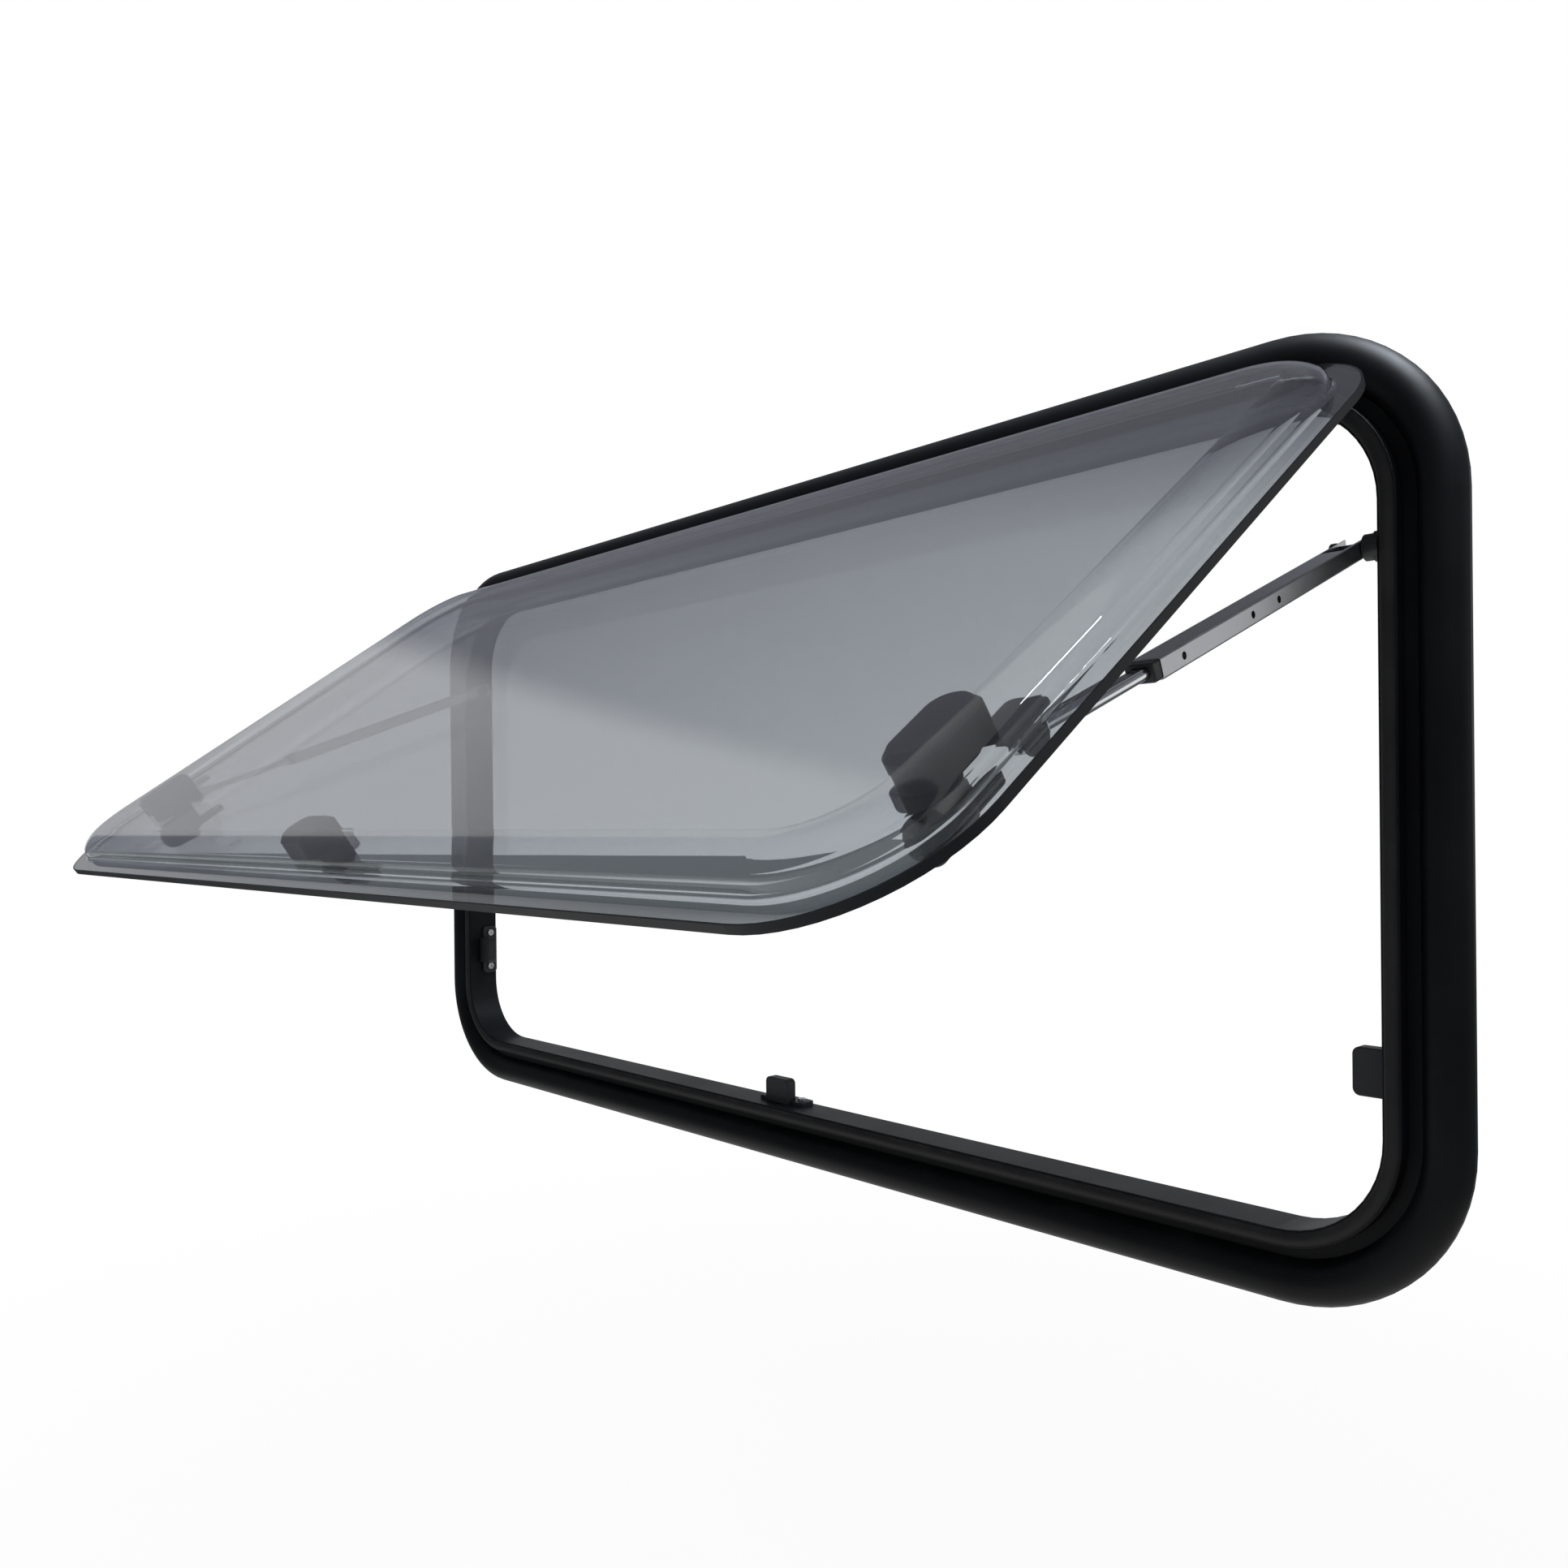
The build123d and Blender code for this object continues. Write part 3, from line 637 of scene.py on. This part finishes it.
@dataclass
class DoubleGlazing:
    """The domed sheet and the flat sheet behind it, in millimetres from the hinge axis."""

    body: str = "sash"
    finish: str = "smoked_acrylic"
    hinge: str = "sash_hinge"
    width: float = 988.0
    top: float = 3.0
    bottom: float = -473.0
    corner: float = 72.0
    corner_steps: int = 24
    edge: float = 0.9
    flange: float = 14.0
    flange_level: float = 3.8
    wall_lean: float = 1.0
    wall_rise: float = 7.2
    shoulder_run: float = 19.0
    shoulder_rise: float = 8.4
    shoulder_steps: int = 8
    bend: float = 2.0
    bend_steps: int = 4
    land: float = 0.4
    outer_sheet: float = 2.2
    inner_sheet: float = 2.0
    bond: float = 0.06
    notch_half: float = 410.6
    notch_level: float = -6.2
    level_slack: float = 0.001
    weld: float = 0.0001
    crease: float = math.radians(30.0)

    def _place(self) -> Matrix:
        """From the shut sash, X across, Y up and Z outwards, to the open sash in metres.

        Returns:
            The transform.
        """
        hinge = next(joint for joint in frame["joints"] if joint["name"] == self.hinge)
        open_angle = -min(hinge["range_deg"])
        swing = Matrix.Rotation(math.radians(90.0 - open_angle), 4, "X")
        return Matrix.Translation(hinge["pos_m"]) @ Matrix.Scale(MILLIMETRE, 4) @ swing

    def _outline(self, mesh: bmesh.types.BMesh, level: float) -> bmesh.types.BMFace:
        """A flat face with the sash's rounded outline.

        Args:
            mesh: The mesh that gets the face.
            level: Its height outwards.

        Returns:
            The face.
        """
        bmesh.ops.create_grid(mesh, x_segments=1, y_segments=1, size=0.5)
        size = (self.width - 2 * self.edge, self.top - self.bottom - 2 * self.edge, 1.0)
        bmesh.ops.scale(mesh, verts=mesh.verts[:], vec=size)
        bmesh.ops.translate(mesh, verts=mesh.verts[:], vec=(0, (self.top + self.bottom) / 2, level))
        bmesh.ops.bevel(
            mesh, geom=mesh.verts[:], offset=self.corner - self.edge, segments=self.corner_steps, profile=0.5,
            affect="VERTICES", material=-1, offset_type="OFFSET", clamp_overlap=False,
        )
        mesh.faces.ensure_lookup_table()
        return mesh.faces[0]

    def _cut_notch(self, mesh: bmesh.types.BMesh, level: float) -> None:
        """Cut the room for the hinge out of a flange.

        Args:
            mesh: The mesh.
            level: The flange's height outwards.
        """
        def flange() -> list[bmesh.types.BMFace]:
            """The faces at the flange's level."""
            slack = self.level_slack
            return [face for face in mesh.faces if all(abs(v.co.z - level) < slack for v in face.verts)]

        def in_notch(face: bmesh.types.BMFace) -> bool:
            """Whether a face lies in the room for the hinge."""
            centre = face.calc_center_median()
            return centre.y > self.notch_level and abs(centre.x) < self.notch_half

        across, up = Vector((1, 0, 0)), Vector((0, 1, 0))
        cuts = ((across, self.notch_half), (across, -self.notch_half), (up, self.notch_level))
        for normal, reach in cuts:
            faces = flange()
            around = {item for face in faces for item in (*face.verts, *face.edges)}
            bmesh.ops.bisect_plane(
                mesh, geom=[*faces, *around], dist=self.weld, plane_co=normal * reach, plane_no=normal,
            )
        bmesh.ops.delete(mesh, geom=[face for face in flange() if in_notch(face)], context="FACES")

    def _domed_sheet(self) -> bmesh.types.BMesh:
        """A flange, a steep wall, a round shoulder and a flat top, with eased bends.

        Returns:
            The mesh.
        """
        mesh = bmesh.new()
        top = self._outline(mesh, self.flange_level)

        def step(run: float, rise: float) -> list[bmesh.types.BMEdge]:
            """Move the top inwards and outwards, and give its new rim."""
            bmesh.ops.inset_region(
                mesh, faces=[top], thickness=run, depth=rise, use_even_offset=True, use_boundary=True,
            )
            return list(top.edges)

        flat = self.flange - self.edge
        margin = self.bend + self.land
        step(flat - margin, 0.0)
        foot = step(margin, 0.0)
        knee = step(self.wall_lean, self.wall_rise)
        radius = (self.shoulder_run ** 2 + self.shoulder_rise ** 2) / (2 * self.shoulder_rise)
        sweep = math.asin(self.shoulder_run / radius)
        turns = [sweep * (1 - index / self.shoulder_steps) for index in range(self.shoulder_steps + 1)]
        for here, there in zip(turns, turns[1:]):
            step(radius * (math.sin(here) - math.sin(there)), radius * (math.cos(there) - math.cos(here)))
        step(self.land, 0.0)
        bmesh.ops.bevel(
            mesh, geom=[*foot, *knee], offset=self.bend, segments=self.bend_steps, profile=0.5,
            affect="EDGES", material=-1, offset_type="OFFSET", clamp_overlap=True,
        )
        self._cut_notch(mesh, self.flange_level)
        bmesh.ops.solidify(mesh, geom=mesh.faces[:], thickness=self.outer_sheet)
        return mesh

    def _flat_sheet(self) -> bmesh.types.BMesh:
        """The sheet behind the dome; it sinks a hair into the flange, as a bond does.

        Returns:
            The mesh.
        """
        mesh = bmesh.new()
        level = self.flange_level - self.outer_sheet + self.bond
        self._outline(mesh, level)
        self._cut_notch(mesh, level)
        bmesh.ops.solidify(mesh, geom=mesh.faces[:], thickness=self.inner_sheet + self.bond)
        return mesh

    def _piece(self, node: str, mesh: bmesh.types.BMesh, palette: Palette) -> bpy.types.Object:
        """Put a sheet where its CAD node is.

        Args:
            node: The CAD node.
            mesh: The sheet; it is freed.
            palette: The finishes.

        Returns:
            The piece.
        """
        bmesh.ops.transform(mesh, matrix=self._place(), verts=mesh.verts[:])
        bmesh.ops.recalc_face_normals(mesh, faces=mesh.faces[:])
        for face in mesh.faces:
            face.smooth = True
        for seam in mesh.edges:
            seam.smooth = seam.calc_face_angle(math.pi) < self.crease
        data = bpy.data.meshes.new(node)
        mesh.to_mesh(data)
        mesh.free()
        return StandIn(node, self.body, self.finish).place(f"{node}_sheet", data, palette)

    def build(self, palette: Palette) -> list[bpy.types.Object]:
        """Build both sheets.

        Args:
            palette: The finishes.

        Returns:
            The pieces.
        """
        return [
            self._piece("outer_pane", self._domed_sheet(), palette),
            self._piece("inner_pane", self._flat_sheet(), palette),
        ]


@dataclass
class PhotoCamera:
    """A camera where the photograph was taken from, in metres, degrees and millimetres of film."""

    place: Point = (0.7500, -0.6724, 0.0017)
    yaw: float = 42.354
    roll: float = -0.529
    film: float = 36.0
    lens: float = 28.907
    rise: float = 0.0243
    reach: Span = (0.01, 100.0)

    def build(self) -> bpy.types.Object:
        """Make the camera the scene's own.

        Returns:
            The camera.
        """
        data = bpy.data.cameras.new("photo_camera")
        data.sensor_fit = "HORIZONTAL"
        data.sensor_width = self.film
        data.lens = self.lens
        data.shift_y = self.rise
        data.clip_start, data.clip_end = self.reach
        camera = bpy.data.objects.new("photo_camera", data)
        bpy.context.scene.collection.objects.link(camera)
        yaw, roll = math.radians(self.yaw), math.radians(self.roll)
        ahead = Vector((-math.cos(yaw), math.sin(yaw), 0.0))
        up = Axis.UP.vector
        across = ahead.cross(up)
        right = across * math.cos(roll) + up * math.sin(roll)
        above = up * math.cos(roll) - across * math.sin(roll)
        turn = Matrix((right, above, -ahead)).transposed().to_4x4()
        camera.matrix_world = Matrix.Translation(self.place) @ turn
        bpy.context.scene.camera = camera
        return camera


@dataclass
class Lamp:
    """One soft area lamp that looks at the window."""

    name: str
    place: Point
    size: Span
    watts: float
    target: Point = (0.0, -0.1, 0.05)
    tone: Colour = WHITE
    mirrored: bool = True
    only: tuple[str, ...] = ()

    def build(self) -> bpy.types.Object:
        """Hang the lamp; where it names nodes, it lights those alone.

        Returns:
            The lamp.
        """
        data = bpy.data.lights.new(self.name, "AREA")
        data.shape = "RECTANGLE"
        data.size, data.size_y = self.size
        data.energy = self.watts
        data.color = self.tone
        lamp = bpy.data.objects.new(self.name, data)
        bpy.context.scene.collection.objects.link(lamp)
        aim = Vector(self.target) - Vector(self.place)
        turn = aim.to_track_quat("-Z", "Y").to_matrix().to_4x4()
        lamp.matrix_world = Matrix.Translation(self.place) @ turn
        lamp.visible_camera = False
        lamp.visible_glossy = self.mirrored
        lamp.visible_transmission = self.mirrored and not self.only
        if self.only:
            lit = bpy.data.collections.new(f"lit_by_{self.name}")
            for node in self.only:
                lit.objects.link(frame["nodes"][node])
            lamp.light_linking.receiver_collection = lit
        return lamp


@dataclass
class Studio:
    """A pale floor, a white surround and soft lamps.

    Heights and depths of the surround are the Z and Y of a direction of length 1.
    """

    floor_drop: float = 0.35
    floor_reach: float = 40.0
    floor_cloud: float = 3.0
    floor_tones: tuple[Colour, Colour] = ((0.86, 0.86, 0.86), (0.9, 0.9, 0.9))
    floor_veil: float = 0.93
    shadow_reach: Span = (0.7, 1.6)
    mirror_reach: Span = (0.9, 1.7)
    glass_reach: Span = (3.5, 8.0)
    dim_floor: Colour = (0.0, 0.02, 0.028)
    room: float = 0.2
    ceiling: float = 0.32
    side: float = 0.48
    dusk: Colour = (0.0, 0.006, 0.045)
    ambient: Colour = (0.5, 0.5, 0.51)
    front_depth: Span = (-0.06, 0.08)
    behind_depth: Span = (0.25, 0.285)
    mirror_height: Span = (0.2, 0.33)
    glass_height: Span = (0.33, 0.43)
    side_height: Span = (0.12, 0.22)
    lamps: tuple[Lamp, ...] = (
        Lamp("key", place=(-1.3, -2.2, 2.3), size=(1.6, 1.2), watts=48.0, mirrored=False),
        Lamp("rim", place=(1.15, 0.15, 1.45), size=(0.2, 0.035), watts=2.2, target=(0.45, -0.1, 0.2)),
        Lamp(
            "overhead", place=(0.85, 0.0, 1.7), size=(1.1, 0.5), watts=75.0, target=(0.49, 0.0, 0.21),
            tone=(0.84, 0.92, 1.0), only=("outer_frame",),
        ),
        Lamp("fill", place=(2.4, -1.8, 0.3), size=(1.4, 1.4), watts=14.0, mirrored=False),
    )

    @staticmethod
    def seen(tree: NodeTree) -> Value:
        """Where a ray shows the background: to the camera, in a mirror or through glass.

        Args:
            tree: The tree that asks.

        Returns:
            1 for such a ray.
        """
        return tree.ray(Ray.CAMERA) | tree.ray(Ray.MIRROR) | tree.ray(Ray.GLASS)

    def _shade(self, tree: NodeTree) -> Value:
        """How dim the surround is: in mirrors to the front, the sides and high behind, and high up in glass.

        Args:
            tree: The world's tree.

        Returns:
            0 where it is white, and 1 where it is dusk.
        """
        spot = tree.spot("Generated")
        height, depth = tree.part(spot, "Z"), tree.part(spot, "Y")
        behind = tree.spread(depth, self.behind_depth)
        front = 1.0 - tree.spread(depth, self.front_depth)
        aside = (1.0 - behind) * (1.0 - self.side)
        above = behind * tree.spread(height, self.mirror_height) * (1.0 - self.room)
        mirrored = front * (1.0 - self.room) | aside + above
        upward = behind * tree.spread(height, self.glass_height) * (1.0 - self.ceiling)
        through = aside * tree.spread(height, self.side_height) + upward
        return mirrored * tree.ray(Ray.MIRROR) | through * tree.ray(Ray.GLASS)

    def build_world(self) -> None:
        """A white surround, dim in places for mirrors and glass, that lights the window evenly."""
        world = bpy.data.worlds.new("studio")
        bpy.context.scene.world = world
        tree = NodeTree(world)
        backdrop = tree.mix(self._shade(tree), WHITE, self.dusk)
        colour = tree.mix(self.seen(tree), self.ambient, backdrop)
        surround = tree.node("ShaderNodeBackground", inputs={"Color": colour, "Strength": 1.0})
        tree.node("ShaderNodeOutputWorld", inputs={"Surface": surround})

    def _floor_finish(self) -> bpy.types.Material:
        """White with a faint shadow near the window, and dim further away in mirrors and glass.

        Returns:
            The material.
        """
        pale = bpy.data.materials.new("pale_floor")
        tree = NodeTree(pale)
        spot = tree.spot()
        matt = tree.node(
            "ShaderNodeBsdfDiffuse",
            inputs={"Color": tree.mix(tree.noise(spot, self.floor_cloud), *self.floor_tones)},
        )
        away = tree.node("ShaderNodeVectorMath", {"operation": "LENGTH"}, {0: spot}, "Value")
        mirrored = tree.spread(away, self.mirror_reach) * (1.0 - tree.ray(Ray.GLASS))
        either = mirrored | tree.spread(away, self.glass_reach)
        dim = either * tree.ray(Ray.MIRROR) * (1.0 - self.room)
        white = tree.mix(dim, WHITE, self.dim_floor)
        glow = tree.node("ShaderNodeEmission", inputs={"Color": white, "Strength": 1.0})
        far = tree.spread(away, self.shadow_reach)
        veil = self.seen(tree) * (self.floor_veil + far * (1.0 - self.floor_veil))
        both = tree.node("ShaderNodeMixShader", inputs={0: veil, 1: matt, 2: glow})
        tree.node("ShaderNodeOutputMaterial", inputs={"Surface": both})
        return pale

    def build_floor(self) -> bpy.types.Object:
        """Lay the floor under the window.

        Returns:
            The floor.
        """
        mesh = bmesh.new()
        bmesh.ops.create_grid(mesh, x_segments=1, y_segments=1, size=self.floor_reach)
        level = CAD_BOX[0].z - self.floor_drop
        bmesh.ops.translate(mesh, verts=mesh.verts[:], vec=(0, 0, level))
        data = bpy.data.meshes.new("floor")
        mesh.to_mesh(data)
        mesh.free()
        data.materials.append(self._floor_finish())
        floor = bpy.data.objects.new("floor", data)
        bpy.context.scene.collection.objects.link(floor)
        return floor

    def build(self) -> None:
        """Build the surround, the floor and the lamps."""
        self.build_world()
        self.build_floor()
        for lamp in self.lamps:
            lamp.build()
        bpy.context.scene.view_settings.view_transform = "Standard"


def screw_pairs() -> list[ScrewPair]:
    """The screws of the keepers and of the stay brackets.

    Returns:
        One pair for each CAD node of screws.
    """
    return [
        ScrewPair("keeper_screws_left", Axis.RIGHT, Axis.UP),
        ScrewPair("keeper_screws_right", Axis.LEFT, Axis.UP),
        ScrewPair("keeper_screws_bottom", Axis.UP, Axis.RIGHT),
        ScrewPair("stay_bracket_screws_left", Axis.RIGHT, Axis.INWARD),
        ScrewPair("stay_bracket_screws_right", Axis.LEFT, Axis.INWARD),
    ]


def main() -> None:
    """Build the camera, the studio, the finishes and the pieces."""
    logging.basicConfig(level=logging.INFO, format="%(name)s %(message)s")
    PhotoCamera().build()
    Studio().build()
    palette = Palette()
    palette.build()
    palette.dress_nodes()
    for sheet in DoubleGlazing().build(palette):
        LOG.info("%s built", sheet.name)
    for pair in screw_pairs():
        LOG.info("%s built", pair.build(palette).name)


if __name__ == "__main__":
    main()
